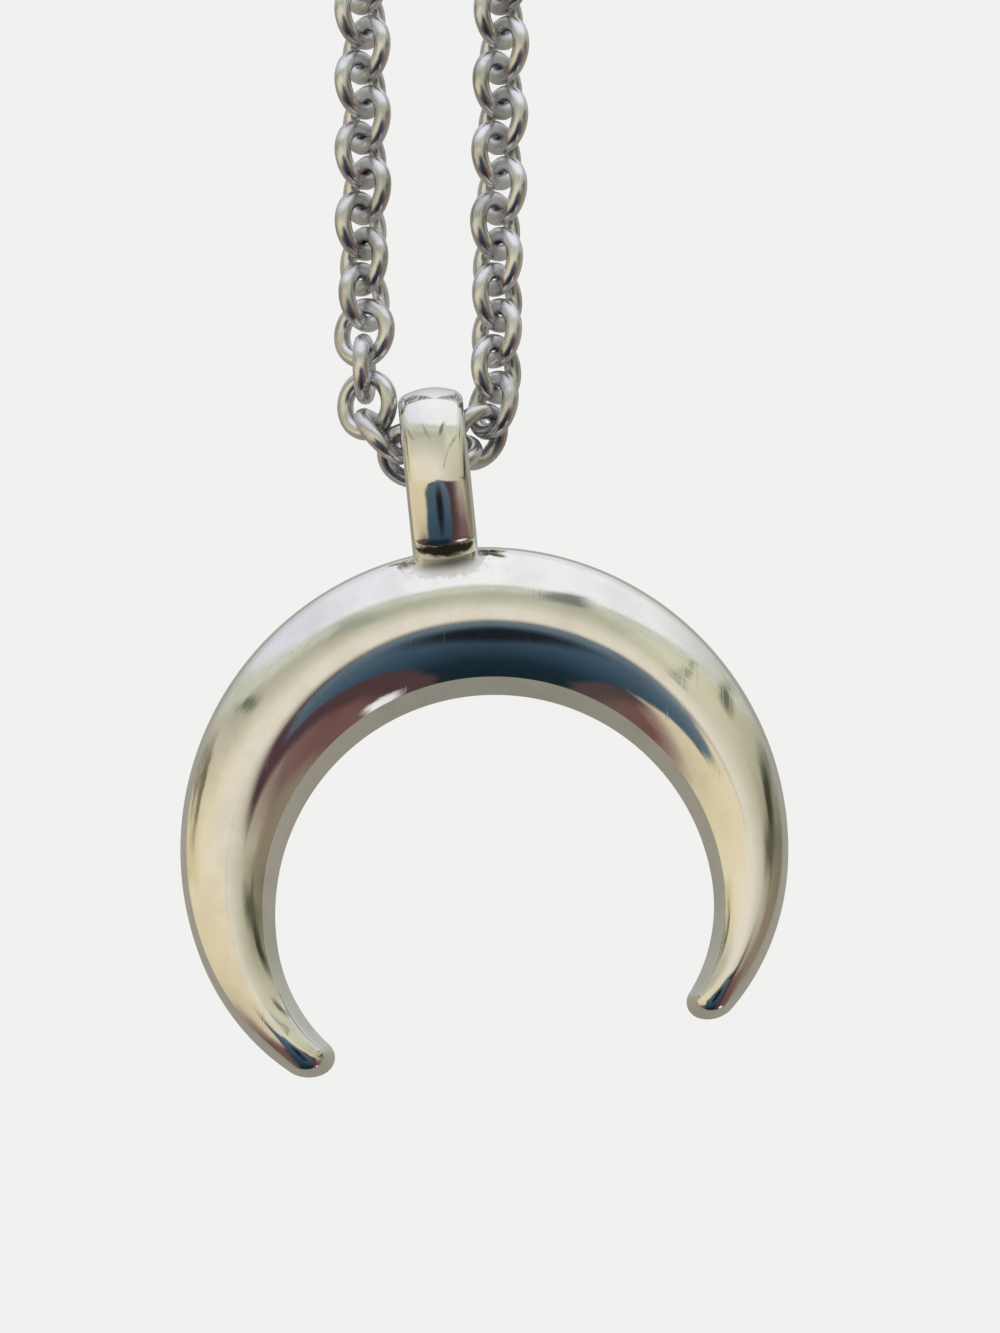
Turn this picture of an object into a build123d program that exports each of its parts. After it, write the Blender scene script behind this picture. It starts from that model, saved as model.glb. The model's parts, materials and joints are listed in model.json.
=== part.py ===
from build123d import *
import os
from math import acos, asin, atan2, cos, degrees, hypot, pi, radians, sin, sqrt

# Crescent moon pendant on a closed necklace of round links, hanging free.
# Millimetres, +Z up, the domed front of the moon faces -Y.
# The origin is the crest of the peg or finger that the top of the necklace hangs on.

# Crescent outline: two circles, the smaller one set toward the gap, with the horns' ends drawn in
outer_radius = 15.0
top_width = 7.56
tip_width = 2.06
horn_angle = 124.9
curl_angle = 90.0
horn_curl = 0.6

# Crescent section: flat back, two leaning side walls and a dome
back_depth = 1.0
wall_height = 1.3
tip_wall_height = 0.9
inner_bevel = 0.74
outer_bevel = 0.36
tip_outer_bevel = 0.58
dome_rise = 1.35
section_step = 17.0
tip_turns = [0.0, 16.0, 32.0, 48.0, 63.0, 77.0]

# Bail: a crowned strap bent over the chain, cast in one with the crescent. Its front leg is bowed.
strap_width = 3.05
strap_edge = 0.35
strap_crown = 0.6
bail_clearance = 0.12
bail_length = 4.9
bail_sink = 0.6
rear_foot_inset = 0.2
front_foot_depth = 0.65

# How the pendant hangs, in degrees from upright, and where the bail stands on the crescent
bail_lean = 5.05
crescent_turn = 4.11
bail_shift = 0.7

# Bail's hinge line, from the lowest place of the chain
hinge_shift = 0.34
hinge_rise = 0.55
links_in_bail = 2

# Chain of round links
link_diameter = 3.27
link_wire = 0.6
link_play = 0.21
necklace_length = 455.0
bail_bend = 32.5
top_bend = 18.0

# Roll of the links about the chain's own line, in degrees
link_roll = 45.0
left_twist = [5.0, 25.0, 25.0, 40.0, 35.0, 20.0, 5.0]

# Clasp and its two jump rings, in the right strand just below the top
ring_diameter = 4.6
ring_wire = 0.8
clasp_links = 7
links_above_clasp = 8
clasp_play = 0.3
clasp_bar = 0.9
clasp_plate = 1.2
clasp_width = 5.0
eye_width = 3.4
hook_slot_share = 0.8

link_pitch = link_diameter - 2 * link_wire - link_play
link_circle = (link_diameter - link_wire) / 2
ring_circle = (ring_diameter - ring_wire) / 2
ring_pitch = ring_diameter - 2 * ring_wire - (link_play + clasp_play) / 2
strap_thickness = strap_edge + strap_crown
depth_axis = Vector(0, 1, 0)


def bend_elevations(bend):
    """Elevations in degrees of the links on one side of a bend centred on a joint."""
    count = int((90 + bend / 2) // bend)
    return [bend * (i + 0.5) for i in range(count)]


def level_reach(elevations):
    """Level distance that links at these elevations cover."""
    return sum(link_pitch * cos(radians(e)) for e in elevations)


def side_elevations():
    """Elevations of one side's links, outward and up from the bail, then inward to the top."""
    low = bend_elevations(bail_bend)
    high = bend_elevations(top_bend)
    straight = round(necklace_length / link_pitch / 2) - len(low) - len(high)
    lean = degrees(asin((level_reach(high) - level_reach(low)) / (straight * link_pitch)))
    return low + [90 - lean] * straight + [180 - e for e in high[::-1]]


elevations = side_elevations()
loop_drop = sum(link_pitch * sin(radians(e)) for e in elevations)
peg_to_line = link_circle * cos(radians(link_roll)) + link_wire / 2
lowest_joint = Vector(0, 0, peg_to_line - loop_drop)
hinge = lowest_joint + Vector(hinge_shift, 0, hinge_rise)
pendant_place = Pos(hinge) * Rot(0, -bail_lean, 0)


def joints(side):
    """Points where neighbouring links cross, side -1 left or 1 right, from the bail upward."""
    points = [lowest_joint]
    for elevation in elevations:
        step = Vector(side * cos(radians(elevation)), 0, sin(radians(elevation)))
        points.append(points[-1] + step * link_pitch)
    return points


def roll_of(index, side):
    """Roll of the piece with this number, counted up from the bail."""
    twist = left_twist[index] if side < 0 and index < len(left_twist) else 0
    return link_roll + 90 * (index + 1) + twist


def seat(low, high, roll):
    """Plane of a flat piece strung from low to high: X along the chain, Z its normal."""
    along = (high - low).normalized()
    level = along.cross(depth_axis)
    normal = depth_axis * cos(radians(roll)) + level * sin(radians(roll))
    return Plane(origin=(low + high) * 0.5, x_dir=along, z_dir=normal)


def link(low, high, roll):
    """One round link strung from low to high."""
    return Solid.make_torus(link_circle, link_wire / 2, seat(low, high, roll))


def chain_links(side, first, last):
    """Links numbered first to last - 1 on one side."""
    points = joints(side)
    return [link(points[i], points[i + 1], roll_of(i, side)) for i in range(first, last)]


def chain_reach():
    """Largest distance from the hinge axis to the links inside the bail's width."""
    wire_radius = link_wire / 2
    samples = 120
    reach = 0
    for side in (-1, 1):
        points = joints(side)
        for i in range(links_in_bail):
            plane = seat(points[i], points[i + 1], roll_of(i, side))
            for step in range(samples):
                turn = 2 * pi * step / samples
                spot = plane.from_local_coords((link_circle * cos(turn), link_circle * sin(turn), 0))
                x, y, z = (pendant_place.inverse() * Pos(spot)).position
                beyond = max(0, abs(x) - strap_width / 2)
                if beyond < wire_radius:
                    reach = max(reach, hypot(y, z) + sqrt(wire_radius**2 - beyond**2))
    return reach


bail_radius = chain_reach() + bail_clearance


def inner_circle():
    """Radius of the inner circle and its distance from the outer one's centre, from both widths."""
    near = outer_radius - top_width
    turn = cos(radians(horn_angle))
    shift = near - tip_width
    rest = (tip_width**2 + near**2 + 2 * turn * tip_width * near - outer_radius**2) / (1 - turn)
    radius = (shift + sqrt(shift**2 - 2 * rest)) / 2
    return radius, radius - near


inner_radius, circle_offset = inner_circle()


def crescent_width(angle):
    """Width of the crescent at an angle from its thickest place, about the inner circle."""
    rad = radians(angle)
    return circle_offset * cos(rad) + sqrt(outer_radius**2 - (circle_offset * sin(rad)) ** 2) - inner_radius


def curl_at(angle):
    """How far the crescent is drawn in at this angle."""
    return horn_curl * (max(0, abs(angle) - curl_angle) / (horn_angle - curl_angle)) ** 2


def crescent_section(angle, tip_turn=0.0):
    """Closed outline of the crescent at this angle, drawn in as a round end by the tip's turn."""
    width = crescent_width(angle)
    share = (width - tip_width) / (top_width - tip_width)
    shrink = cos(radians(tip_turn))
    height = (tip_wall_height + (wall_height - tip_wall_height) * share) * sqrt(shrink)
    half = width / 2 * shrink
    inner_rim = -half + inner_bevel * shrink
    outer_rim = half - (tip_outer_bevel + (outer_bevel - tip_outer_bevel) * share) * shrink
    rise = dome_rise * (outer_rim - inner_rim) / (top_width - inner_bevel - outer_bevel)
    radius = inner_radius + width / 2 - curl_at(angle)
    turn = radians(angle - crescent_turn)
    outward = Vector(sin(turn), 0, cos(turn))
    axis = Vector(-sin(radians(crescent_turn)), 0, cos(radians(crescent_turn)))
    drop = bail_length + sqrt(outer_radius**2 - bail_shift**2)
    centre = Vector(bail_shift, 0, -drop) - axis * circle_offset

    def place(across, depth):
        return centre + outward * (radius + across) + depth_axis * depth

    wall_top = back_depth - height
    back = [place(-half, back_depth), place(half, back_depth)]
    rim = [place(outer_rim, wall_top), place(inner_rim, wall_top)]
    crest = place((inner_rim + outer_rim) / 2, wall_top - rise)
    return Wire([
        Edge.make_line(back[0], back[1]),
        Edge.make_line(back[1], rim[0]),
        Edge.make_three_point_arc(rim[0], crest, rim[1]),
        Edge.make_line(rim[1], back[0]),
    ])


def horn_end(from_tip):
    """Angle of the place this many tip radii short of the horn's end."""
    half = tip_width / 2
    return horn_angle - degrees(from_tip * half / (inner_radius + half))


def horn_tip(side):
    """Rounded end of one horn, from the last full section to the tip."""
    sections = [crescent_section(side * horn_end(1 - sin(radians(t))), t) for t in tip_turns]
    return Solid.make_loft(sections, ruled=True)


def crescent():
    """Crescent in the pendant's own frame: origin on the hinge axis, bail along Z."""
    end = horn_end(1)
    count = 2 * round(end / section_step) + 1
    angles = [-end + 2 * end * i / (count - 1) for i in range(count)]
    body = Solid.make_loft([crescent_section(a) for a in angles])
    return body + horn_tip(-1) + horn_tip(1)


def on_round(turn):
    """Point on the bail's inner round, the turn in radians from +Y toward +Z."""
    return Vector(0, bail_radius * cos(turn), bail_radius * sin(turn))


def bail():
    """Both legs of the strap, each swept from the top of the round down into the crescent."""
    foot_height = -bail_length - bail_sink
    top = on_round(pi / 2)
    rear_foot = Vector(0, back_depth - strap_thickness - rear_foot_inset, foot_height)
    rear_turn = atan2(rear_foot.Z, rear_foot.Y) + acos(bail_radius / rear_foot.length)
    rear_touch = on_round(rear_turn)
    rear_path = Wire([
        Edge.make_three_point_arc(top, on_round((pi / 2 + rear_turn) / 2), rear_touch),
        Edge.make_line(rear_touch, rear_foot),
    ])
    front_foot = Vector(0, front_foot_depth, foot_height)
    reach = front_foot_depth + bail_radius
    bow_radius = (reach**2 + foot_height**2) / (2 * reach)
    half_bow = asin(-foot_height / bow_radius) / 2
    bow_middle = Vector(0, bow_radius * (1 - cos(half_bow)) - bail_radius, -bow_radius * sin(half_bow))
    front_path = Wire([
        Edge.make_three_point_arc(top, on_round(3 * pi / 4), on_round(pi)),
        Edge.make_three_point_arc(on_round(pi), bow_middle, front_foot),
    ])
    half = strap_width / 2
    outline = Polyline((half, strap_edge), (half, 0), (-half, 0), (-half, strap_edge))
    crown = ThreePointArc((-half, strap_edge), (0, strap_thickness), (half, strap_edge))
    section = Plane(origin=top, x_dir=(1, 0, 0), z_dir=(0, -1, 0)) * make_face(outline + crown)
    return sweep(section, path=rear_path) + sweep(section, path=front_path)


def pendant():
    """Crescent and bail as one cast piece, where it hangs."""
    return pendant_place * (crescent() + bail())


def clasp_body(low, high, roll):
    """Closed clasp in one plain piece: a small eye below and a long hook loop above."""
    reach = (high - low).length / 2 + clasp_play / 2 + clasp_bar
    eye_spot = Pos(eye_width / 2 - reach, 0)
    hook_spot = Pos(reach - clasp_width / 2, 0)
    eye_edge = eye_spot * Circle(eye_width / 2)
    hook_edge = hook_spot * Circle(clasp_width / 2)
    outline = make_hull(eye_edge.edges() + hook_edge.edges())
    eye = eye_spot * Circle(eye_width / 2 - clasp_bar)
    hook_radius = clasp_width / 2 - clasp_bar
    slot = Pos(-hook_radius / 2, 0) * Circle(hook_radius * hook_slot_share)
    hook = hook_spot * (Circle(hook_radius) + slot)
    plate = extrude(outline - eye - hook, clasp_plate / 2, both=True)
    return seat(low, high, roll) * plate


def ring(low, high, roll):
    """One jump ring strung from low to high."""
    return Solid.make_torus(ring_circle, ring_wire / 2, seat(low, high, roll))


def right_strand():
    """Right strand's links, its two jump rings and the clasp, keyed by node."""
    points = joints(1)
    above = len(elevations) - links_above_clasp
    below = above - clasp_links
    along = (points[above] - points[below]).normalized()
    lower = points[below] + along * ring_pitch
    upper = points[above] - along * ring_pitch
    links = chain_links(1, 0, below)
    for i in range(above, len(elevations)):
        links.append(link(points[i], points[i + 1], roll_of(below + 3 + i - above, 1)))
    return {
        "chain_right": Compound(links),
        "clasp_ring": ring(points[below], lower, roll_of(below, 1)),
        "clasp": clasp_body(lower, upper, roll_of(below + 1, 1)),
        "end_ring": ring(upper, points[above], roll_of(below + 2, 1)),
    }


def nodes():
    """Every node of the part, keyed by name."""
    pieces = {"pendant": pendant(), "chain_left": Compound(chain_links(-1, 0, len(elevations)))}
    pieces.update(right_strand())
    return pieces


os.makedirs("parts", exist_ok=True)
for name, shape in nodes().items():
    export_step(shape, f"parts/{name}.step")
print("link pitch", round(link_pitch, 3), "bail radius", round(bail_radius, 3), "hinge", hinge)
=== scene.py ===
import json
from math import acos, asin, atan2, ceil, cos, degrees, hypot, pi, radians, sin, sqrt, tan

import bmesh
import bpy
import numpy as np
from mathutils import Matrix, Vector
from mathutils.bvhtree import BVHTree
from mathutils.interpolate import poly_3d_calc


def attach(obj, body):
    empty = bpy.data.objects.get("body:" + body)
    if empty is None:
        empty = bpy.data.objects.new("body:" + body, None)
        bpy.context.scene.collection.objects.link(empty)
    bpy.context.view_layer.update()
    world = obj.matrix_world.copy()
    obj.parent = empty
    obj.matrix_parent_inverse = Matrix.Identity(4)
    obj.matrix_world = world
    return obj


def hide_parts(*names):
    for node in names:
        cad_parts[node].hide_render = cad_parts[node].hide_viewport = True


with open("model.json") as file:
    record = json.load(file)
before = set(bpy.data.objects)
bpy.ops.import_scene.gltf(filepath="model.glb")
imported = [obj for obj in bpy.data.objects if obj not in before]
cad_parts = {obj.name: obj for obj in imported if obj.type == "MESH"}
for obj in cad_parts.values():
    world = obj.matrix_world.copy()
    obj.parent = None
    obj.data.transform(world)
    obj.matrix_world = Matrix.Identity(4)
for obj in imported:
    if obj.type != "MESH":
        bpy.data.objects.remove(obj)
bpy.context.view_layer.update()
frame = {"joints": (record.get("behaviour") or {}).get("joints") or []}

# Lengths below are in millimetres in the part's frame, as in the CAD source.
MM = 0.001

# Crescent outline: two circles, the smaller one set toward the gap, with the horns' ends drawn in
outer_radius = 15.0
top_width = 7.56
tip_width = 2.06
horn_angle = 124.9
curl_angle = 90.0
horn_curl = 0.6

# Crescent section, with the horns' own wall, bevels and extra dome height
back_depth = 1.0
wall_height = 1.3
tip_wall_height = 0.9
inner_bevel = 0.74
outer_bevel = 0.36
tip_inner_bevel = 0.38
tip_outer_bevel = 0.33
dome_rise = 1.35
tip_bulge = 0.25
bulge_fade = 6

# Horns' round ends: bevel at the very end, inward skew, and the length over which the dome falls
tip_end_bevel = 0.42
tip_skew = 0.28
nose_length = 2.3

# Degrees that each horn ends short of its drawn angle, the left one and the right one
horn_trim = {-1: 1.2, 1: -0.9}

# Bail's strap. Each arc of its crown is a radius and the place across where the arc ends, and round
# shoulders turn on from there to shoulder_end.
strap_width = 3.26
strap_edge = 0.04
crown_arcs = [(3.0, 0.6), (6.0, 1.15)]
shoulder_end = 70.0

# Bail's path: round, drawn-out nose and front leg. Each arc of the leg is an inner radius and the
# turn at the arc's end.
bail_top = 3.15
nose_depth = 2.04
nose_drop = 0.45
nose_rise = 5.0
leg_arcs = [(10.6, 5.0), (1.6, 12.5), (14.3, 22.8), (0.15, 62.0)]
foot_run = 2.2
bail_length = 4.9
bail_sink = 0.6
rear_foot_inset = 0.2
bail_tilt = 0.9
bail_lean = 5.05
crescent_turn = 4.11
bail_shift = 0.7

# Chain. The wire is as thick as the photo shows it, and the pitch is the part's, whose own links set
# how high the chain hangs.
link_pitch = 1.86
link_wire = 0.84
link_play = 0.04
cad_link_diameter = 3.27
cad_link_wire = 0.6
cad_link_play = 0.21
necklace_length = 455.0
bail_bend = 32.5
top_bend = 18.0
link_roll = 45.0
roll_spread = 6.7
link_sway = 0.26

# Degrees by which the lowest links of the left strand are turned further
left_twist = [5.0, 25.0, 10.0, 40.0, 12.0, 8.0]

# Jump rings and clasp
ring_diameter = 4.6
ring_wire = 0.8
clasp_links = 7
links_above_clasp = 8
clasp_pieces = 3
clasp_play = 0.3
clasp_bar = 0.9
clasp_plate = 1.2
clasp_width = 5.0
eye_width = 3.4
hook_slot_share = 0.8
clasp_bevel = 0.22
clasp_crease = 50.0

# Mesh fineness: the crescent's rings in degrees, how they crowd in its round ends, and counts
ring_step = 0.75
tip_rings = 22
last_tip_turn = 87.0
tip_crowding = 0.8
face_points = 44
back_points = 12
wall_points = 10
strap_back_points = 10
strap_edge_points = 2
rear_leg_steps = 24
round_steps = 50
nose_steps = 70
leg_steps = 30
foot_steps = 20
crown_steps = 20
shoulder_steps = 40
link_turns = 40
wire_sides = 14
ring_turns = 56
ring_sides = 20
hook_points = 56
eye_points = 40
slot_points = 30

# Softening of a ring's corners, and the points by which its runs are drawn before that
edge_softness = 0.035
strap_softness = 0.05
outline_samples = 1024
dome_samples = 120
line_samples = 48
strap_edge_samples = 8
least_normal = 1e-12
weld_distance = 0.002

link_circle = (link_pitch + link_play + link_wire) / 2
ring_circle = (ring_diameter - ring_wire) / 2
ring_pitch = ring_diameter - 2 * ring_wire - (cad_link_play + clasp_play) / 2
hinge = Vector(frame["joints"][0]["pos_m"]) / MM
hinge_turn = Matrix.Rotation(radians(-bail_lean), 3, "Y")


# Meshes

def new_object(name, verts, faces, smooth=True):
    """Mesh object in the scene, from points in metres."""
    mesh = bpy.data.meshes.new(name)
    mesh.from_pydata([tuple(v) for v in verts], [], [tuple(f) for f in faces])
    mesh.validate()
    mesh.polygons.foreach_set("use_smooth", [smooth] * len(mesh.polygons))
    obj = bpy.data.objects.new(name, mesh)
    bpy.context.scene.collection.objects.link(obj)
    return obj


def soften(ring, shares, spread):
    """Closed 3-D outline with its corners rounded, and its slopes, read at shares of each of its runs.

    ring is a list of runs, each an array of points from its start up to the next run's start.
    """
    points = np.concatenate(ring)
    steps = np.linalg.norm(np.roll(points, -1, axis=0) - points, axis=1)
    at = np.concatenate([[0.0], np.cumsum(steps)])
    total = at[-1]
    closed = np.vstack([points, points[:1]])
    even = np.arange(outline_samples) * total / outline_samples
    dense = np.stack([np.interp(even, at, closed[:, k]) for k in range(3)], axis=1)
    spectrum = np.fft.rfft(dense, axis=0)
    wave = 2 * pi * np.arange(len(spectrum)) / total
    spectrum *= np.exp(-0.5 * (wave * spread) ** 2)[:, None]
    smooth = np.fft.irfft(spectrum, n=outline_samples, axis=0)
    slope = np.fft.irfft(spectrum * (1j * wave)[:, None], n=outline_samples, axis=0)
    run_ends = at[np.cumsum([0] + [len(run) for run in ring])]
    spots = []
    for start, end, run_shares in zip(run_ends[:-1], run_ends[1:], shares):
        spots.extend(start + (end - start) * s for s in run_shares)
    spots = np.array(spots)
    grid = np.append(even, total)

    def read(field):
        """A field of the even grid at the wanted spots."""
        columns = [np.interp(spots, grid, np.append(field[:, k], field[0, k])) for k in range(3)]
        return np.stack(columns, axis=1)

    return read(smooth), read(slope)


def crowded(count):
    """Shares of a run, closer together at both of its ends."""
    return [(1 - cos(pi * i / count)) / 2 for i in range(count)]


def line(start, end, count=line_samples):
    """Even points from start up to, and without, end."""
    share = np.arange(count)[:, None] / count
    return np.array(start)[None, :] * (1 - share) + np.array(end)[None, :] * share


def skin(rings, slopes, fold=None):
    """Grid mesh through closed rings, with the smooth form's normals as a third result.

    slopes are the rings' directions at their points. The two ends are closed by strips
    across the ring about its fold, or by one flat face each.
    """
    rings = np.array(rings)
    slopes = np.array(slopes)
    along = np.gradient(rings, axis=0)
    normals = np.cross(along, slopes)
    size = np.linalg.norm(normals, axis=2, keepdims=True)
    normals = normals / np.maximum(size, least_normal)
    count, across = rings.shape[:2]
    verts = rings.reshape(-1, 3)
    faces = []
    for r in range(count - 1):
        for k in range(across):
            a = r * across + k
            b = r * across + (k + 1) % across
            faces.append((a, b, b + across, a + across))
    if fold is None:
        caps = [tuple(range(across))]
    else:
        pairs = [(i, (2 * fold - i) % across) for i in range(fold, fold + across // 2 + 1)]
        caps = [(a, c, d, b) if a != b else (a, c, d) for (a, b), (c, d) in zip(pairs, pairs[1:])]
        caps = [tuple(dict.fromkeys(cap)) for cap in caps]
    last = (count - 1) * across
    faces.extend(cap[::-1] for cap in caps)
    faces.extend(tuple(last + k for k in cap) for cap in caps)
    return verts, faces, normals.reshape(-1, 3)


def hang(points):
    """Points of the pendant's own frame, where it hangs."""
    turn = np.array(hinge_turn)
    return points @ turn.T + np.array(hinge)


# Crescent

def inner_circle():
    """Radius of the inner circle and its distance from the outer one's centre, from both widths."""
    near = outer_radius - top_width
    turn = cos(radians(horn_angle))
    shift = near - tip_width
    rest = (tip_width**2 + near**2 + 2 * turn * tip_width * near - outer_radius**2) / (1 - turn)
    radius = (shift + sqrt(shift**2 - 2 * rest)) / 2
    return radius, radius - near


inner_radius, circle_offset = inner_circle()


def crescent_width(angle):
    """Distance between the two circles at this angle from the thickest place."""
    rad = radians(angle)
    return circle_offset * cos(rad) + sqrt(outer_radius**2 - (circle_offset * sin(rad)) ** 2) - inner_radius


def curl_at(angle):
    """How far the horn is drawn in at this angle."""
    return horn_curl * (max(0, abs(angle) - curl_angle) / (horn_angle - curl_angle)) ** 2


def horn_end(side):
    """Angle at which the round end of the left horn, -1, or the right one, 1, begins."""
    half = tip_width / 2
    return horn_angle - horn_trim[side] - degrees(half / (inner_radius + half))


section_shares = [crowded(back_points), crowded(wall_points), crowded(face_points), crowded(wall_points)]


def nose_share(from_end):
    """Share of the dome's height left at this distance from a horn's end."""
    return sqrt(1 - (1 - min(1, max(0, from_end) / nose_length)) ** 2)


def crescent_ring(angle, tip_turn=0.0, side=0):
    """One closed ring of the crescent; in a horn's round end its rim ends short of its back."""
    width = crescent_width(angle)
    share = (width - tip_width) / (top_width - tip_width)
    shrink = cos(radians(tip_turn))
    reach = sin(radians(tip_turn))
    height = tip_wall_height + (wall_height - tip_wall_height) * share
    half = width / 2
    outer_inset = tip_outer_bevel + (outer_bevel - tip_outer_bevel) * share
    inner_rim = -half + tip_inner_bevel + (inner_bevel - tip_inner_bevel) * share
    outer_rim = half - outer_inset
    rise = dome_rise * (outer_rim - inner_rim) / (top_width - inner_bevel - outer_bevel)
    rise += tip_bulge * (1 - share) ** bulge_fade
    radius = inner_radius + half - curl_at(angle)
    turn = radians(angle - crescent_turn)
    outward = np.array([sin(turn), 0, cos(turn)])
    onward = np.array([cos(turn), 0, -sin(turn)]) * side
    depth = np.array([0, 1.0, 0])
    axis = np.array([-sin(radians(crescent_turn)), 0, cos(radians(crescent_turn))])
    drop = bail_length + sqrt(outer_radius**2 - bail_shift**2)
    centre = np.array([bail_shift, 0, -drop]) - axis * circle_offset
    middle = (inner_rim + outer_rim) / 2

    def place(across, depth_at, beyond):
        """Point by its place across the section, its depth and how far past the horn's angle it is."""
        return centre + outward * (radius + across - tip_skew * beyond) + depth * depth_at + onward * beyond

    wall_top = back_depth - height
    rim_reach = (half - tip_end_bevel) * reach
    back_reach = half * reach
    back_low = place(-half * shrink, back_depth, back_reach)
    back_high = place(half * shrink, back_depth, back_reach)
    rim_high = place(middle + (outer_rim - middle) * shrink, wall_top, rim_reach)
    rim_low = place(middle + (inner_rim - middle) * shrink, wall_top, rim_reach)
    chord = outer_rim - inner_rim
    tip_half = tip_width / 2
    left_over = radians(horn_end(1 if angle > 0 else -1) - abs(angle)) * (inner_radius + tip_half)
    to_end = left_over + (tip_half - tip_end_bevel) * (1 - reach)
    lift = rise * nose_share(to_end)
    arc_radius = (chord**2 / 4 + rise**2) / (2 * rise)
    opening = asin(min(1, chord / 2 / arc_radius))
    dome = []
    for i in range(dome_samples):
        t = opening - 2 * opening * i / dome_samples
        across = middle + arc_radius * sin(t) * shrink
        up = (arc_radius * cos(t) - arc_radius + rise) * lift / rise
        dome.append(place(across, wall_top - up, rim_reach))
    return [line(back_low, back_high), line(back_high, rim_high), np.array(dome), line(rim_low, back_low)]


def crescent_mesh():
    """Crescent from horn to horn, with rings that close in round both ends."""
    low, high = -horn_end(-1), horn_end(1)
    count = ceil((high - low) / ring_step)
    turns = [last_tip_turn * (1 - i / tip_rings) ** tip_crowding for i in range(tip_rings)]
    stations = [(low, t, -1) for t in turns]
    stations += [(low + (high - low) * i / count, 0.0, 0) for i in range(count + 1)]
    stations += [(high, t, 1) for t in turns[::-1]]
    rings, slopes = [], []
    for angle, t, side in stations:
        ring, slope = soften(crescent_ring(angle, t, side), section_shares, edge_softness)
        rings.append(hang(ring))
        slopes.append(slope @ np.array(hinge_turn).T)
    return skin(rings, slopes, fold=back_points // 2)


# Bail

def crown_side():
    """Half of the strap's crown, from its middle to its edge: place across and fall below the top."""
    points = [(0.0, 0.0)]
    turn = 0.0

    def arc(radius, end, count):
        """Adds an arc that goes on from the last point to the turn called end."""
        across, fall = points[-1]
        for i in range(1, count + 1):
            t = turn + (end - turn) * i / count
            points.append((across + radius * (sin(t) - sin(turn)), fall + radius * (cos(turn) - cos(t))))

    for radius, reach in crown_arcs:
        end = asin(sin(turn) + (reach - points[-1][0]) / radius)
        arc(radius, end, crown_steps)
        turn = end
    end = radians(shoulder_end)
    arc((strap_width / 2 - points[-1][0]) / (sin(end) - sin(turn)), end, shoulder_steps)
    return points


crown = crown_side()
strap_thickness = strap_edge + crown[-1][1]
bail_radius = bail_top - strap_thickness


def bail_path():
    """Stations of the strap from its rear foot over the round to its front foot: place and outward turn."""
    rear_foot = (back_depth - strap_thickness - rear_foot_inset, -bail_length - bail_sink)
    rear_turn = atan2(rear_foot[1], rear_foot[0]) + acos(bail_radius / hypot(*rear_foot))
    touch = (bail_radius * cos(rear_turn), bail_radius * sin(rear_turn))
    stations = []
    for i in range(rear_leg_steps):
        s = i / rear_leg_steps
        stations.append((rear_foot[0] + (touch[0] - rear_foot[0]) * s,
                         rear_foot[1] + (touch[1] - rear_foot[1]) * s, rear_turn))
    for i in range(round_steps):
        t = rear_turn + (pi / 2 - rear_turn) * i / round_steps
        stations.append((bail_radius * cos(t), bail_radius * sin(t), t))
    tall = bail_radius + nose_drop
    last = atan2(nose_depth, tall * tan(radians(nose_rise)))
    for i in range(nose_steps + 1):
        t = last * i / nose_steps
        y, z = -nose_depth * sin(t), tall * cos(t) - nose_drop
        stations.append((y, z, atan2(cos(t) / tall, -sin(t) / nose_depth)))
    start = -radians(nose_rise)
    for radius, end in leg_arcs:
        end = radians(end)
        for i in range(1, leg_steps + 1):
            t = start + (end - start) * i / leg_steps
            stations.append((y + radius * (cos(start) - cos(t)), z - radius * (sin(t) - sin(start)), pi + t))
        y += radius * (cos(start) - cos(end))
        z -= radius * (sin(end) - sin(start))
        start = end
    for i in range(1, foot_steps + 1):
        run = foot_run * i / foot_steps
        stations.append((y + sin(start) * run, z - cos(start) * run, pi + start))
    return stations


edge_shares = crowded(strap_edge_points)
strap_shares = [crowded(strap_back_points), edge_shares, crowded(face_points), edge_shares]


def strap_profile():
    """Crown of the strap from one edge to the other: place across and rise above the inner face."""
    half = [(across, strap_thickness - fall) for across, fall in crown]
    return half[::-1] + [(-across, rise) for across, rise in half[1:-1]]


def bail_mesh():
    """Strap along its path, tilted a little about its foot."""
    half = strap_width / 2
    profile = strap_profile()
    tilt = np.array(Matrix.Rotation(radians(-bail_tilt), 3, "Y"))
    foot = np.array([0, 0, -bail_length])
    wide = np.array([1.0, 0, 0])
    rings, slopes = [], []
    for y, z, turn in bail_path():
        out = np.array([0, cos(turn), sin(turn)])
        spot = np.array([0, y, z])
        face = np.array([spot + wide * across + out * rise for across, rise in profile])
        low_left, low_right = spot - wide * half, spot + wide * half
        edge_left, edge_right = low_left + out * strap_edge, low_right + out * strap_edge
        right_edge = line(low_right, edge_right, strap_edge_samples)
        left_edge = line(edge_left, low_left, strap_edge_samples)
        runs = [line(low_left, low_right), right_edge, face, left_edge]
        ring, slope = soften(runs, strap_shares, strap_softness)
        rings.append(hang((ring - foot) @ tilt.T + foot))
        slopes.append(slope @ tilt.T @ np.array(hinge_turn).T)
    return skin(rings, slopes)


# Union of the crescent and the bail, with their true normals

def oriented(verts, faces, normals):
    """Faces turned so that they look outward, and the normals with them."""
    volume = 0
    v = np.array(verts)
    for f in faces:
        for i in range(1, len(f) - 1):
            volume += np.dot(v[f[0]], np.cross(v[f[i]], v[f[i + 1]]))
    if volume < 0:
        faces = [f[::-1] for f in faces]
    a, b, c = (v[faces[len(faces) // 3][i]] for i in range(3))
    face_normal = np.cross(b - a, c - a)
    if np.dot(face_normal, normals[faces[len(faces) // 3][0]]) < 0:
        normals = -normals
    return verts, faces, normals


def source_tree(verts, faces):
    """Search tree that finds the face nearest to a point."""
    return BVHTree.FromPolygons([Vector(v) for v in verts], faces)


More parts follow.
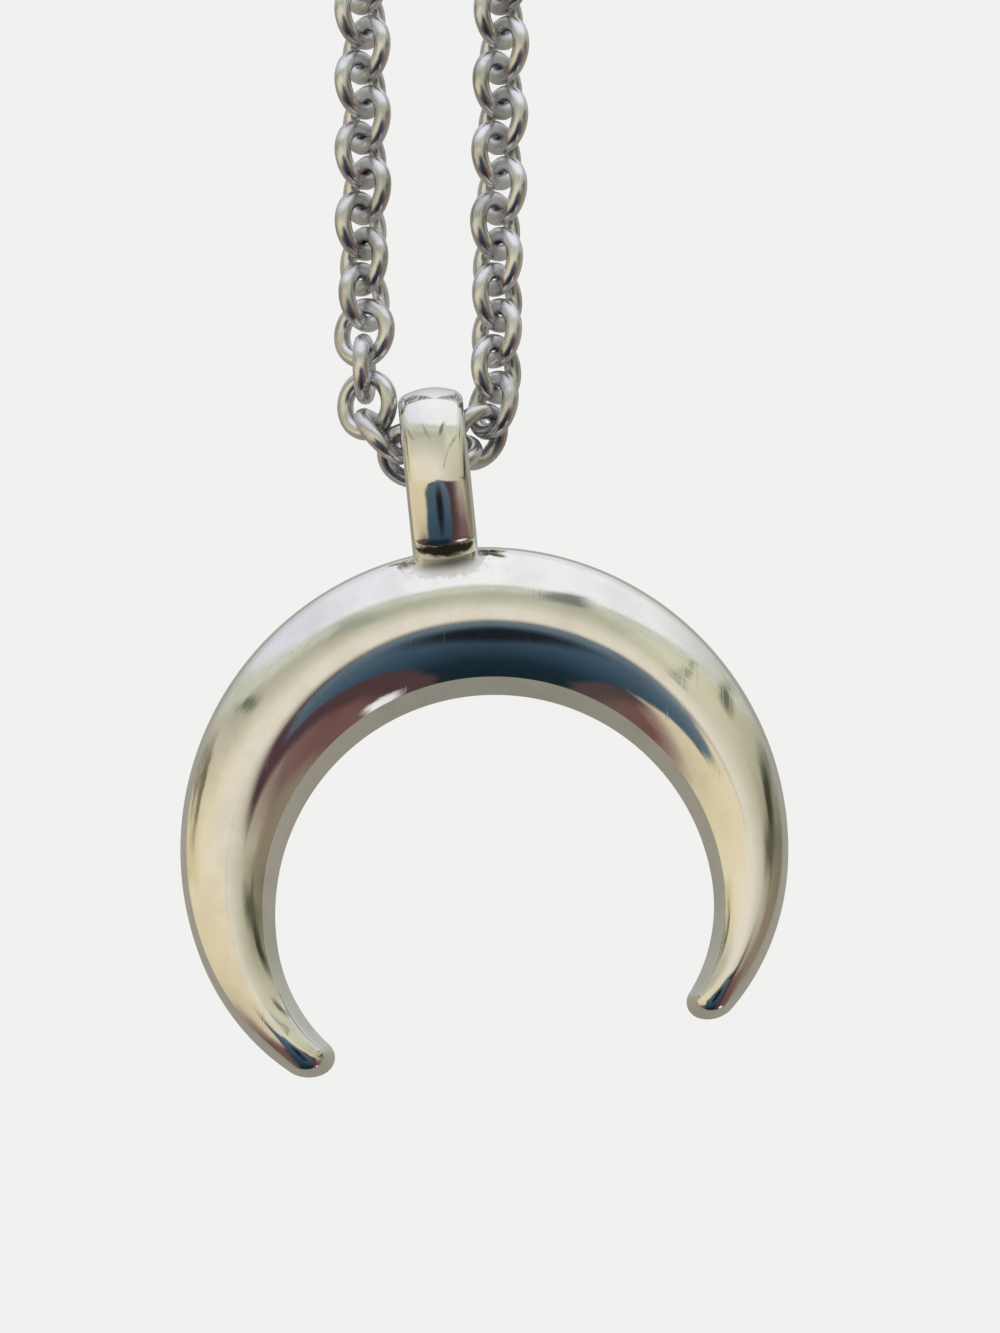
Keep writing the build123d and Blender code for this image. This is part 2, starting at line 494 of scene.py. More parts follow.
def pendant_piece():
    """Crescent and bail as one body, shaded with the normals of the form that each face came from."""
    parts = [oriented(*crescent_mesh()), oriented(*bail_mesh())]
    objs = [new_object(f"source_{i}", part[0], part[1]) for i, part in enumerate(parts)]
    join = objs[0].modifiers.new("join", "BOOLEAN")
    join.operation = "UNION"
    join.solver = "MANIFOLD"
    join.object = objs[1]
    depsgraph = bpy.context.evaluated_depsgraph_get()
    mesh = bpy.data.meshes.new_from_object(objs[0].evaluated_get(depsgraph))
    mesh.name = "moon"
    for obj in objs:
        bpy.data.objects.remove(obj)
    trees = [source_tree(part[0], part[1]) for part in parts]
    mesh.polygons.foreach_set("use_smooth", [True] * len(mesh.polygons))
    loop_normals = [None] * len(mesh.loops)
    for poly in mesh.polygons:
        centre = poly.center
        gaps = [tree.find_nearest(centre)[3] for tree in trees]
        part = 0 if gaps[0] <= gaps[1] else 1
        verts, faces, normals = parts[part]
        for loop in poly.loop_indices:
            spot = mesh.vertices[mesh.loops[loop].vertex_index].co
            found, flat_normal, index, _ = trees[part].find_nearest(spot)
            face = faces[index]
            # The flat end of a leg lies inside the crescent, and only it has more than four corners
            if len(face) > 4:
                loop_normals[loop] = flat_normal
                continue
            weights = poly_3d_calc([Vector(verts[i]) for i in face], found)
            normal = Vector((0, 0, 0))
            for i, weight in zip(face, weights):
                normal += Vector(normals[i]) * weight
            loop_normals[loop] = normal.normalized()
    mesh.transform(Matrix.Scale(MM, 4))
    mesh.normals_split_custom_set(loop_normals)
    obj = bpy.data.objects.new("moon", mesh)
    bpy.context.scene.collection.objects.link(obj)
    return obj


# Chain

def bend_elevations(bend):
    """Elevations of the links round half a bend, from level up to the strand."""
    count = int((90 + bend / 2) // bend)
    return [bend * (i + 0.5) for i in range(count)]


def level_reach(elevations):
    """How far links at these elevations reach sideways."""
    return sum(link_pitch * cos(radians(e)) for e in elevations)


def side_elevations():
    """Elevations of one strand's links, from the bail up to the crest."""
    low = bend_elevations(bail_bend)
    high = bend_elevations(top_bend)
    straight = round(necklace_length / link_pitch / 2) - len(low) - len(high)
    lean = degrees(asin((level_reach(high) - level_reach(low)) / (straight * link_pitch)))
    return low + [90 - lean] * straight + [180 - e for e in high[::-1]]


elevations = side_elevations()
loop_drop = sum(link_pitch * sin(radians(e)) for e in elevations)
peg_to_line = (cad_link_diameter - cad_link_wire) / 2 * cos(radians(link_roll)) + cad_link_wire / 2


def joints(side):
    """Places where one strand's links meet, from the lowest one up; side is -1 on the left."""
    points = [Vector((0, 0, peg_to_line - loop_drop))]
    for elevation in elevations:
        step = Vector((side * cos(radians(elevation)), 0, sin(radians(elevation))))
        points.append(points[-1] + step * link_pitch)
    return points


def roll_of(index, side):
    """Turn of a link about the chain: a quarter on from the last one, and some twist to and fro."""
    twisted = side < 0 and index < len(left_twist)
    twist = left_twist[index] if twisted else roll_spread * (-1) ** (index + 1)
    return link_roll + 90 * (index + 1) + twist


def seat(low, high, roll):
    """Middle, X along the chain, Y across and Z normal of a flat piece strung from low to high."""
    along = (high - low).normalized()
    depth = Vector((0, 1, 0))
    normal = depth * cos(radians(roll)) + along.cross(depth) * sin(radians(roll))
    return (low + high) / 2, along, normal.cross(along), normal


def torus(place, circle, wire, turns, sides):
    """Points of one round link: wire of this thickness on a circle of this radius."""
    middle, along, across, normal = (np.array(v) for v in place)
    turn = 2 * pi * np.arange(turns)[:, None, None] / turns
    side = 2 * pi * np.arange(sides)[None, :, None] / sides
    out = along * np.cos(turn) + across * np.sin(turn)
    points = middle + out * (circle + wire / 2 * np.cos(side)) + normal * (wire / 2) * np.sin(side)
    return points.reshape(-1, 3)


def torus_faces(turns, sides, first):
    """Faces of one round link whose points start at first."""
    faces = []
    for t in range(turns):
        for s in range(sides):
            a = t * sides + s
            b = t * sides + (s + 1) % sides
            c = (t + 1) % turns * sides + (s + 1) % sides
            d = (t + 1) % turns * sides + s
            faces.append((first + a, first + d, first + c, first + b))
    return faces


def ring_string(name, places, circle, wire, turns, sides):
    """One object with a round link at each place."""
    verts, faces = [], []
    for place in places:
        faces.extend(torus_faces(turns, sides, len(verts) * turns * sides))
        verts.append(torus(place, circle, wire, turns, sides))
    return new_object(name, np.concatenate(verts) * MM, faces)


def link_places(side, first, last, shift=0):
    """Places of a strand's links, each but the lowest swayed to the side to which its near edge leans.

    shift moves the count from which a link's turn is worked out.
    """
    points = joints(side)
    places = []
    for i in range(first, last):
        middle, along, across, normal = seat(points[i], points[i + 1], roll_of(i + shift, side))
        near = across if across.y < 0 else -across
        sway = link_sway if i > len(left_twist) else 0
        places.append((middle + Vector((near.x * sway, 0, 0)), along, across, normal))
    return places


# Clasp

def arc_points(centre, radius, start, end, count):
    """Points of an arc about a centre on the X axis, without its last one."""
    turns = [start + (end - start) * i / count for i in range(count)]
    return [(centre + radius * cos(turn), radius * sin(turn)) for turn in turns]


def clasp_piece(low, high, roll):
    """Flat closed plate with a round eye and a long hook loop, strung from low to high."""
    reach = (high - low).length / 2 + clasp_play / 2 + clasp_bar
    eye_at = eye_width / 2 - reach
    hook_at = reach - clasp_width / 2
    beta = acos((eye_width / 2 - clasp_width / 2) / (hook_at - eye_at))
    outline = arc_points(hook_at, clasp_width / 2, -beta, beta, hook_points)
    outline += arc_points(eye_at, eye_width / 2, beta, 2 * pi - beta, eye_points)
    eye = arc_points(eye_at, eye_width / 2 - clasp_bar, 0, 2 * pi, eye_points)
    hook_radius = clasp_width / 2 - clasp_bar
    slot_radius = hook_radius * hook_slot_share
    slot_at = hook_at - hook_radius / 2
    crossing = (hook_radius**2 / 4 + hook_radius**2 - slot_radius**2) / hook_radius
    turn = acos(-crossing / hook_radius)
    rise = hook_radius * sin(turn)
    slot_turn = atan2(rise, hook_at - crossing - slot_at)
    hook = arc_points(hook_at, hook_radius, -turn, turn, eye_points)
    hook += arc_points(slot_at, slot_radius, slot_turn, 2 * pi - slot_turn, slot_points)
    curve = bpy.data.curves.new("clasp_outline", "CURVE")
    curve.dimensions = "2D"
    curve.fill_mode = "BOTH"
    curve.extrude = (clasp_plate / 2 - clasp_bevel) * MM
    curve.bevel_depth = clasp_bevel * MM
    curve.bevel_resolution = 3
    curve.offset = -clasp_bevel * MM
    for loop in (outline, eye, hook):
        spline = curve.splines.new("POLY")
        spline.points.add(len(loop) - 1)
        for point, (x, y) in zip(spline.points, loop):
            point.co = (x * MM, y * MM, 0, 1)
        spline.use_cyclic_u = True
    holder = bpy.data.objects.new("clasp_outline", curve)
    bpy.context.scene.collection.objects.link(holder)
    depsgraph = bpy.context.evaluated_depsgraph_get()
    mesh = bpy.data.meshes.new_from_object(holder.evaluated_get(depsgraph))
    bpy.data.objects.remove(holder)
    bm = bmesh.new()
    bm.from_mesh(mesh)
    bmesh.ops.remove_doubles(bm, verts=bm.verts, dist=weld_distance * MM)
    bmesh.ops.recalc_face_normals(bm, faces=bm.faces)
    bm.to_mesh(mesh)
    bm.free()
    middle, along, across, normal = seat(low, high, roll)
    turn = Matrix((along, across, normal)).transposed().to_4x4()
    mesh.transform(Matrix.Translation(middle * MM) @ turn)
    mesh.polygons.foreach_set("use_smooth", [True] * len(mesh.polygons))
    mesh.set_sharp_from_angle(angle=radians(clasp_crease))
    mesh.name = "clasp_plate"
    obj = bpy.data.objects.new("clasp_plate", mesh)
    bpy.context.scene.collection.objects.link(obj)
    return obj


# Node helpers

class Graph:
    """Short calls for building a node tree."""

    def __init__(self, tree):
        """Starts from an empty tree."""
        self.tree = tree
        tree.nodes.clear()

    def node(self, kind, inputs=None, **settings):
        """New node with its settings, and its inputs by name or number."""
        node = self.tree.nodes.new(kind)
        for key, value in settings.items():
            setattr(node, key, value)
        for key, value in (inputs or {}).items():
            self.feed(node.inputs[key], value)
        return node

    def feed(self, socket, value):
        """Links a socket to the input, or sets the input to a value."""
        if isinstance(value, bpy.types.NodeSocket):
            self.tree.links.new(value, socket)
        else:
            socket.default_value = value

    def math(self, operation, *values):
        """Result of one operation on values or sockets."""
        node = self.node("ShaderNodeMath", operation=operation)
        for socket, value in zip(node.inputs, values):
            self.feed(socket, value)
        return node.outputs[0]

    def step(self, value, start, end, low=0.0, high=1.0):
        """Smooth change from low to high while the value goes from start to end."""
        node = self.node("ShaderNodeMapRange", interpolation_type="SMOOTHSTEP")
        for socket, item in zip(node.inputs, (value, start, end, low, high)):
            self.feed(socket, item)
        return node.outputs[0]

    def mix(self, factor, low, high):
        """Colour between two colours or sockets."""
        node = self.node("ShaderNodeMix", data_type="RGBA")
        self.feed(node.inputs[0], factor)
        self.feed(node.inputs[6], low if not isinstance(low, tuple) else (*low, 1))
        self.feed(node.inputs[7], high if not isinstance(high, tuple) else (*high, 1))
        return node.outputs[2]

    def ramp(self, value, stops):
        """Colour ramp whose stops are a place from 0 to 1 and a colour each."""
        node = self.node("ShaderNodeValToRGB")
        elements = node.color_ramp.elements
        while len(elements) < len(stops):
            elements.new(0.5)
        for element, stop in zip(elements, stops):
            element.position = stop[0]
        for element, stop in zip(elements, stops):
            element.color = (*stop[1], 1)
        self.feed(node.inputs[0], value)
        return node.outputs[0]

    def noise(self, vector, scale, detail=2.0, rough=0.5, output=0):
        """Noise as a value, or as a colour from output 1."""
        node = self.node("ShaderNodeTexNoise", {"Scale": scale, "Detail": detail, "Roughness": rough})
        self.feed(node.inputs["Vector"], vector)
        return node.outputs[output]


# Materials

# Painted shade darkens the crease at the foot of the bail's front leg, and a duller, rougher patch lies about
# it
# Each is a middle in the pendant's frame, a half length and a reach, in millimetres
painted_crease_shade = ((0.2, -1.22, -5.42), 2.0, 0.47)
dull_foot_patch = ((0.0, -1.0, -6.15), 2.1, 0.85)
foot_patch_fade = (1.25, 0.65)
foot_patch_raggedness = 1.2
# Colour of the painted shade in the crease at the bail's foot
painted_shade_colour = (0.05, 0.042, 0.03)
foot_patch_roughness = 0.42

# Noise scales, in waves to the metre
wave_scale = 260.0
patch_scale = 420.0
rough_scale = 900.0
ragged_scale = 2600.0
grit_scale = 9000.0
scratch_scale = (5200.0, 330.0, 330.0)

# Hairline scratches run three ways, each by its turns about X, Y and Z in radians
scratch_ways = [(0.2, 0.5, 0.0), (-0.3, 1.9, 0.3), (0.5, 2.7, 0.6)]
scratch_roughness = 0.06
grit_share = 0.35

# Noise values between which a scratch, a darker patch and wear come up
scratch_cut = (0.70, 0.80)
patch_cut = (0.42, 0.72)
wear_cut = (0.3, 0.7)


def foot_patch_share(g, spot, middle, length, reach):
    """Share of a patch at a spot: one in the middle of a long ragged oval, and nought outside it."""
    middle = hang(np.array(middle)) * MM
    line_along = tuple(hinge_turn @ Vector((1, 0, 0)))
    gap = g.node("ShaderNodeVectorMath", {0: spot, 1: tuple(middle)}, operation="SUBTRACT").outputs[0]
    along = g.node("ShaderNodeVectorMath", {0: gap, 1: line_along}, operation="DOT_PRODUCT").outputs[1]
    away = g.node("ShaderNodeVectorMath", {0: gap}, operation="LENGTH").outputs[1]
    long, near = length * MM, reach * MM
    along_part = g.math("MULTIPLY", g.math("MULTIPLY", along, along), 1 / long**2 - 1 / near**2)
    away_part = g.math("MULTIPLY", g.math("MULTIPLY", away, away), 1 / near**2)
    oval = g.math("SQRT", g.math("ADD", along_part, away_part))
    ragged = g.math("SUBTRACT", g.noise(spot, ragged_scale, 3.0, 0.6), 0.5)
    return g.step(g.math("ADD", oval, g.math("MULTIPLY", ragged, foot_patch_raggedness)), *foot_patch_fade)


def steel(name, colour, dark, rough_low, rough_high, wave, scratch, foot_shade=False):
    """Polished metal: slow waviness, crossed hairline scratches, fine grit and darker patches.

    wave and scratch are heights in millimetres, and the last argument adds painted shade in the crease at the
    bail's foot, with a duller patch about it.
    """
    material = bpy.data.materials.new(name)
    material.use_nodes = True
    g = Graph(material.node_tree)
    spot = g.node("ShaderNodeTexCoord").outputs["Object"]
    slow = g.noise(spot, wave_scale, 3.0, 0.55)
    grit = g.noise(spot, grit_scale, 2.0, 0.6)
    lines = []
    for way in scratch_ways:
        placing = {"Vector": spot, "Rotation": way, "Scale": scratch_scale}
        fibre = g.noise(g.node("ShaderNodeMapping", placing).outputs[0], 1.0, 1.0, 0.4)
        lines.append(g.step(fibre, *scratch_cut))
    scratches = g.math("MAXIMUM", g.math("MAXIMUM", lines[0], lines[1]), lines[2])
    scratch_depth = g.math("MULTIPLY", scratches, scratch)
    depth = g.math("ADD", scratch_depth, g.math("MULTIPLY", grit, scratch * grit_share))
    height = g.math("SUBTRACT", g.math("MULTIPLY", slow, wave), depth)
    bump = g.node("ShaderNodeBump", {"Height": height, "Strength": 1.0, "Distance": MM})
    patches = g.noise(spot, patch_scale, 4.0, 0.6)
    tint = g.mix(g.step(patches, *patch_cut), colour, dark)
    wear = g.step(g.noise(spot, rough_scale, 3.0, 0.6), *wear_cut, rough_low, rough_high)
    rough = g.math("ADD", wear, g.math("MULTIPLY", scratches, scratch_roughness))
    if foot_shade:
        # Painted shade: the crease at the bail's foot is darkened in the base colour, and it and the patch
        # about it are made rougher
        painted_shade_share = foot_patch_share(g, spot, *painted_crease_shade)
        dull_share = foot_patch_share(g, spot, *dull_foot_patch)
        tint = g.mix(painted_shade_share, tint, painted_shade_colour)
        rough_foot = g.math("MAXIMUM", painted_shade_share, dull_share)
        rough = g.math("ADD", rough, g.math("MULTIPLY", rough_foot, foot_patch_roughness))
    surface = {"Base Color": tint, "Metallic": 1.0, "Roughness": rough, "Normal": bump.outputs[0]}
    shader = g.node("ShaderNodeBsdfPrincipled", surface)
    out = g.node("ShaderNodeOutputMaterial")
    g.feed(out.inputs[0], shader.outputs[0])
    return material


# The pendant's steel carries the painted shade in the crease at the bail's foot
polished_steel = steel("polished_steel", colour=(0.88, 0.875, 0.86), dark=(0.80, 0.79, 0.77),
                       rough_low=0.035, rough_high=0.085, wave=0.0012, scratch=0.0006, foot_shade=True)
link_steel = steel("link_steel", colour=(0.80, 0.81, 0.86), dark=(0.50, 0.50, 0.50),
                   rough_low=0.18, rough_high=0.30, wave=0.004, scratch=0.002)


def dress(obj, material):
    """Gives an object one material."""
    obj.data.materials.clear()
    obj.data.materials.append(material)


# Build

moon = pendant_piece()
dress(moon, polished_steel)
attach(moon, "moon")
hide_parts("pendant")

# The clasp and its two rings stand for some links of the right strand, between two of its joints
right = joints(1)
above = len(elevations) - links_above_clasp
below = above - clasp_links
along = (right[above] - right[below]).normalized()
lower = right[below] + along * ring_pitch
upper = right[above] - along * ring_pitch
left_places = link_places(-1, 0, len(elevations))
right_places = link_places(1, 0, below) + link_places(1, above, len(elevations), below + clasp_pieces - above)
clasp_ring_place = seat(right[below], lower, roll_of(below, 1))
end_ring_place = seat(upper, right[above], roll_of(below + 2, 1))

link = (link_circle, link_wire, link_turns, wire_sides)
jump_ring = (ring_circle, ring_wire, ring_turns, ring_sides)
strung = {
    "chain_left": ring_string("links_left", left_places, *link),
    "chain_right": ring_string("links_right", right_places, *link),
    "clasp_ring": ring_string("jump_ring_low", [clasp_ring_place], *jump_ring),
    "end_ring": ring_string("jump_ring_high", [end_ring_place], *jump_ring),
    "clasp": clasp_piece(lower, upper, roll_of(below + 1, 1)),
}
for node, piece in strung.items():
    dress(piece, link_steel)
    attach(piece, "necklace")
    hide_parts(node)


# Floor

# Half its side and the height that it lies at, in metres
floor_half = 0.35
floor_height = -0.33
floor_dark = (0.80, 0.80, 0.79)
floor_pale = (0.84, 0.84, 0.83)
mottle_scale = 60.0


def studio_floor():
    """Plain pale floor, which the metal doesn't mirror."""
    material = bpy.data.materials.new("studio_floor")
    material.use_nodes = True
    g = Graph(material.node_tree)
    spot = g.node("ShaderNodeTexCoord").outputs["Object"]
    mottled = g.mix(g.noise(spot, mottle_scale, 4.0, 0.6), floor_dark, floor_pale)
    shader = g.node("ShaderNodeBsdfPrincipled", {"Base Color": mottled, "Roughness": 0.9})
    g.feed(g.node("ShaderNodeOutputMaterial").inputs[0], shader.outputs[0])
    sides = ((-1, -1), (1, -1), (1, 1), (-1, 1))
    corners = [(x * floor_half, y * floor_half, floor_height) for x, y in sides]
    obj = new_object("studio_floor", corners, [(0, 1, 2, 3)], smooth=False)
    dress(obj, material)
    obj.visible_glossy = False
    return obj


floor = studio_floor()


# Room that the metal mirrors. A direction's X runs from left to right and its Z from below to above,
# each from -1 to 1, and each stop of a ramp is such a place and the colour there.

# By X: wall in front, level and high up, and the ceiling
low_wall = [(-1.0, (0.70, 0.60, 0.37)), (-0.8, (0.83, 0.74, 0.51)), (-0.5, (0.85, 0.78, 0.61)),
            (0.0, (0.82, 0.765, 0.65)), (0.2, (0.73, 0.69, 0.54)), (0.4, (0.62, 0.59, 0.46)),
            (0.55, (0.53, 0.51, 0.37)), (0.7, (0.40, 0.37, 0.26)), (0.88, (0.27, 0.24, 0.16)),
            (1.0, (0.22, 0.20, 0.14))]
high_wall = [(-1.0, (0.58, 0.54, 0.44)), (-0.7, (0.50, 0.47, 0.36)), (0.0, (0.50, 0.51, 0.38)),
             (0.22, (0.50, 0.50, 0.37)), (0.36, (0.70, 0.70, 0.52)), (0.6, (0.65, 0.61, 0.42)),
             (1.0, (0.42, 0.42, 0.33))]
ceiling = [(-1.0, (0.70, 0.70, 0.76)), (-0.6, (0.78, 0.79, 0.86)), (-0.3, (0.93, 0.92, 0.97)),
           (0.0, (0.98, 0.98, 0.99)), (0.5, (0.93, 0.93, 0.94)), (0.8, (0.55, 0.56, 0.51)),
           (1.0, (0.5, 0.5, 0.46))]

# By Z: floor left and right of the dark figure, the figure, and what is behind the pendant
left_floor = [(-1.0, (0.10, 0.08, 0.07)), (-0.84, (0.15, 0.10, 0.085)), (-0.68, (0.19, 0.09, 0.08)),
              (-0.58, (0.36, 0.26, 0.21)), (-0.48, (0.66, 0.58, 0.40)), (-0.3, (0.78, 0.67, 0.44)),
              (0.0, (0.84, 0.74, 0.52))]
right_floor = [(-1.0, (0.10, 0.08, 0.07)), (-0.8, (0.17, 0.095, 0.085)), (-0.6, (0.18, 0.085, 0.08)),
               (-0.36, (0.20, 0.125, 0.115)), (-0.24, (0.36, 0.29, 0.22)), (-0.14, (0.48, 0.44, 0.33)),
               (0.0, (0.5, 0.47, 0.35))]
figure_ramp = [(-1.0, (0.010, 0.020, 0.025)), (-0.84, (0.012, 0.028, 0.042)), (-0.66, (0.03, 0.058, 0.09)),
               (-0.45, (0.05, 0.092, 0.135)), (-0.28, (0.085, 0.13, 0.17)), (-0.1, (0.16, 0.21, 0.25))]
behind_ramp = [(-1.0, (0.28, 0.27, 0.23)), (-0.5, (0.33, 0.31, 0.255)), (0.0, (0.36, 0.345, 0.29)),
               (0.26, (0.38, 0.37, 0.32)), (0.5, (0.48, 0.48, 0.44)), (0.7, (0.60, 0.60, 0.61)),
               (0.87, (0.72, 0.72, 0.76)), (1.0, (0.84, 0.85, 0.90))]

# Irregularities of the room: noise scales, how far each shifts a direction's X and Z, and the noise
# values between which the speckled zone turns pale and the thin line goes on
wobble_scale = 6.0
speckle_scale = 45.0
wobble_shift = (0.10, 0.08)
speckle_shift = (0.05, 0.05)
speckle_cut = (0.35, 0.62)
line_cut = (0.42, 0.52)

# Marks on the wall: colour, middle as direction X and Z, half length, half width, turn in degrees, softness
wall_marks = [
    ((0.20, 0.21, 0.20), 0.19, 0.58, 0.13, 0.045, 60.0, 0.55),
    ((0.36, 0.38, 0.30), -0.27, 0.50, 0.14, 0.045, -55.0, 0.7),
    ((0.16, 0.18, 0.12), -0.66, 0.44, 0.13, 0.022, -28.0, 0.6),
    ((0.05, 0.055, 0.035), 0.87, 0.18, 0.20, 0.055, 78.0, 0.6),
    ((0.12, 0.12, 0.08), 0.76, 0.05, 0.16, 0.05, 15.0, 0.8),
    ((0.16, 0.17, 0.12), 0.72, 0.50, 0.12, 0.035, 50.0, 0.6),
    ((0.20, 0.18, 0.12), -0.93, 0.25, 0.16, 0.025, 80.0, 0.7),
]
floor_light = ((0.95, 0.94, 0.92), 0.50, -0.845, 0.085, 0.04, 30.0, 0.5)
figure_core = ((0.014, 0.016, 0.022), 0.015, -0.39, 0.15, 0.11, 90.0, 0.5)

# Broken thin dark line on the wall, which climbs to the right
line_start = (0.18, 0.12)
line_end = (0.66, 0.64)
line_width = 0.014
line_core = 0.3
line_fade = 0.06
line_colour = (0.16, 0.16, 0.11)

# Heights at which one zone of the wall goes over into the next, and the speckled zone's two colours
low_to_high = (0.08, 0.46)
high_to_speckled = (0.47, 0.56)
speckled_to_ceiling = (0.60, 0.70)
speckle_dark = (0.50, 0.53, 0.42)
speckle_pale = (0.70, 0.72, 0.60)

# Floor: X beyond which each side has its ramp, with a dark colour nearer to the figure, which ends at
# near_left_top on the left, and the X at which the sides meet
right_ramp_from = (0.42, 0.56)
left_ramp_from = (-0.42, -0.54)
near_right_colour = (0.085, 0.045, 0.05)
near_left_colour = (0.085, 0.06, 0.06)
near_left_top = (-0.62, -0.52)
floor_middle = (-0.1, 0.1)

# Brown band at the far right of the floor
band_from = (0.72, 0.88)
band_bottom = (-0.75, -0.6)
band_colour = (0.27, 0.22, 0.15)

# Horizon, which is lower on the right
horizon_left = -0.09
horizon_fall = -0.08
horizon_change = (-0.15, 0.25)
horizon_fade = 0.09

# Dark figure, which widens upward under a top that falls away from its middle
figure_middle = -0.03
figure_half = 0.435
figure_widening = 0.12
figure_side_fade = 0.05
figure_top = -0.065
figure_top_slope = -0.48
figure_top_fade = 0.035

# Y at which the room behind begins, and the plain backdrop that the camera sees
behind_from = (-0.02, 0.14)
backdrop_colour = (0.879, 0.879, 0.871)


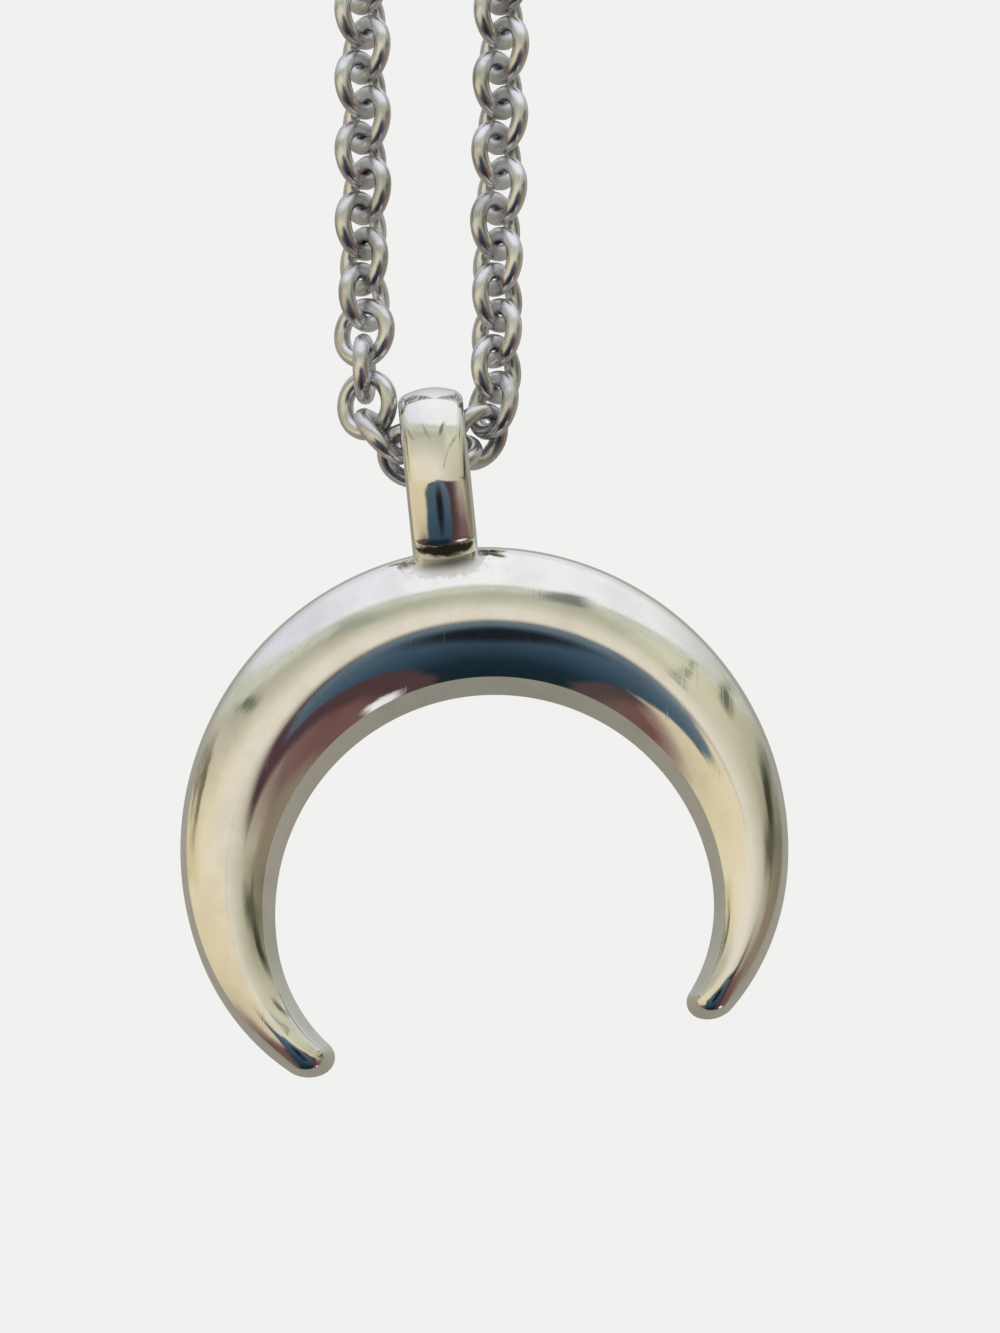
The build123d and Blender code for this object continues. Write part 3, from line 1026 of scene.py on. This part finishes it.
def studio_world():
    """Room painted by direction: the front half by X and Z, the back half by Z."""
    world = bpy.data.worlds.new("studio")
    bpy.context.scene.world = world
    world.use_nodes = True
    g = Graph(world.node_tree)
    direction = g.node("ShaderNodeTexCoord").outputs["Generated"]
    wobble = g.node("ShaderNodeSeparateColor", {0: g.noise(direction, wobble_scale, 4.0, 0.6, output=1)})
    speckle = g.node("ShaderNodeSeparateColor", {0: g.noise(direction, speckle_scale, 3.0, 0.7, output=1)})
    parts = g.node("ShaderNodeSeparateXYZ", {0: direction})

    def shifted(value, channel):
        """Value with a slow and a fast irregularity, each by its own channel of a noise."""
        slow = g.math("MULTIPLY", g.math("SUBTRACT", wobble.outputs[channel], 0.5), wobble_shift[channel])
        fast = g.math("MULTIPLY", g.math("SUBTRACT", speckle.outputs[channel], 0.5), speckle_shift[channel])
        return g.math("ADD", value, g.math("ADD", slow, fast))

    x = shifted(parts.outputs[0], 0)
    z = shifted(parts.outputs[2], 1)

    def by(value, stops):
        """Ramp over a value from -1 to 1."""
        halved = [((at + 1) / 2, colour) for at, colour in stops]
        return g.ramp(g.math("MULTIPLY_ADD", value, 0.5, 0.5), halved)

    def mark(base, colour, middle_x, middle_z, length, width, turn, soft):
        """Base with a soft oval of another colour on it."""
        along, across = cos(radians(turn)), sin(radians(turn))
        dx = g.math("SUBTRACT", x, middle_x)
        dz = g.math("SUBTRACT", z, middle_z)
        u = g.math("ADD", g.math("MULTIPLY", dx, along / length), g.math("MULTIPLY", dz, across / length))
        v = g.math("SUBTRACT", g.math("MULTIPLY", dz, along / width), g.math("MULTIPLY", dx, across / width))
        away = g.math("SQRT", g.math("ADD", g.math("MULTIPLY", u, u), g.math("MULTIPLY", v, v)))
        return g.mix(g.step(away, 1 + soft, 1 - soft), base, colour)

    wall = g.mix(g.step(z, *low_to_high), by(x, low_wall), by(x, high_wall))
    speckled = g.mix(g.step(speckle.outputs[2], *speckle_cut), speckle_dark, speckle_pale)
    wall = g.mix(g.step(z, *high_to_speckled), wall, speckled)
    wall = g.mix(g.step(z, *speckled_to_ceiling), wall, by(x, ceiling))
    for item in wall_marks:
        wall = mark(wall, *item)

    # The line's own axes: on runs along it and off away from it
    run_x = line_end[0] - line_start[0]
    run_z = line_end[1] - line_start[1]
    run = hypot(run_x, run_z)
    dx = g.math("SUBTRACT", x, line_start[0])
    dz = g.math("SUBTRACT", z, line_start[1])
    off = g.math("SUBTRACT", g.math("MULTIPLY", dz, run_x / run), g.math("MULTIPLY", dx, run_z / run))
    on = g.math("ADD", g.math("MULTIPLY", dx, run_x / run), g.math("MULTIPLY", dz, run_z / run))
    inside = g.math("MULTIPLY", g.step(on, 0.0, line_fade), g.step(on, run, run - line_fade))
    thin = g.step(g.math("ABSOLUTE", off), line_width, line_width * line_core)
    broken = g.math("MULTIPLY", thin, g.step(speckle.outputs[1], *line_cut))
    wall = g.mix(g.math("MULTIPLY", inside, broken), wall, line_colour)

    near_right = g.mix(g.step(x, *right_ramp_from), near_right_colour, by(z, right_floor))
    near_left = g.mix(g.step(x, *left_ramp_from), near_left_colour, by(z, left_floor))
    near_left = g.mix(g.step(z, *near_left_top), near_left, by(z, left_floor))
    floor = g.mix(g.step(x, *floor_middle), near_left, near_right)
    band = g.math("MULTIPLY", g.step(x, *band_from), g.step(z, *band_bottom))
    floor = g.mix(band, floor, band_colour)
    floor = mark(floor, *floor_light)
    horizon = g.math("MULTIPLY_ADD", g.step(x, *horizon_change), horizon_fall, horizon_left)
    front = g.mix(g.step(z, horizon, g.math("ADD", horizon, horizon_fade)), floor, wall)

    half = g.math("MULTIPLY_ADD", z, figure_widening, figure_half)
    offset = g.math("ABSOLUTE", g.math("SUBTRACT", x, figure_middle))
    top = g.math("MULTIPLY_ADD", offset, figure_top_slope, figure_top)
    under_top = g.step(z, top, g.math("SUBTRACT", top, figure_top_fade))
    between_sides = g.step(offset, half, g.math("SUBTRACT", half, figure_side_fade))
    figure = mark(by(z, figure_ramp), *figure_core)
    front = g.mix(g.math("MULTIPLY", under_top, between_sides), front, figure)

    room = g.mix(g.step(parts.outputs[1], *behind_from), front, by(parts.outputs[2], behind_ramp))
    seen = g.node("ShaderNodeLightPath").outputs["Is Camera Ray"]
    colour = g.mix(seen, room, backdrop_colour)
    background = g.node("ShaderNodeBackground", {"Color": colour, "Strength": 1.0})
    g.feed(g.node("ShaderNodeOutputWorld").inputs[0], background.outputs[0])


studio_world()


# Lamp: a large soft box above, which the metal doesn't mirror. From here on lengths are in metres.
lamp_data = bpy.data.lights.new("soft_box", "AREA")
lamp_data.shape = "RECTANGLE"
lamp_data.size = 0.9
lamp_data.size_y = 0.9
lamp_data.energy = 6.0
lamp = bpy.data.objects.new("soft_box", lamp_data)
lamp.location = (0.0, -0.1, 0.75)
lamp.visible_glossy = False
lamp.visible_camera = False
bpy.context.scene.collection.objects.link(lamp)

# Camera, fitted to the photo: a little below the moon, looking up at it
camera_elevation = radians(-9.03)
camera_azimuth = radians(-0.03)
camera_roll = radians(0.14)
camera_distance = 0.15497
camera_target = Vector((0.003535, 0.0, -0.230898))
forward = Vector((-sin(camera_azimuth) * cos(camera_elevation),
                  cos(camera_azimuth) * cos(camera_elevation),
                  -sin(camera_elevation)))
level = forward.cross(Vector((0, 0, 1))).normalized()
upright = level.cross(forward)
camera_right = level * cos(camera_roll) + upright * sin(camera_roll)
camera_up = upright * cos(camera_roll) - level * sin(camera_roll)
camera_data = bpy.data.cameras.new("camera")
camera_data.sensor_fit = "VERTICAL"
camera_data.sensor_height = 36.0
camera_data.lens = 84.65
camera_data.clip_start = 0.001
camera = bpy.data.objects.new("camera", camera_data)
turn = Matrix((camera_right, camera_up, -forward)).transposed().to_4x4()
camera.matrix_world = Matrix.Translation(camera_target - forward * camera_distance) @ turn
bpy.context.scene.collection.objects.link(camera)
bpy.context.scene.camera = camera
bpy.context.scene.view_settings.view_transform = "Standard"
bpy.context.scene.view_settings.look = "None"
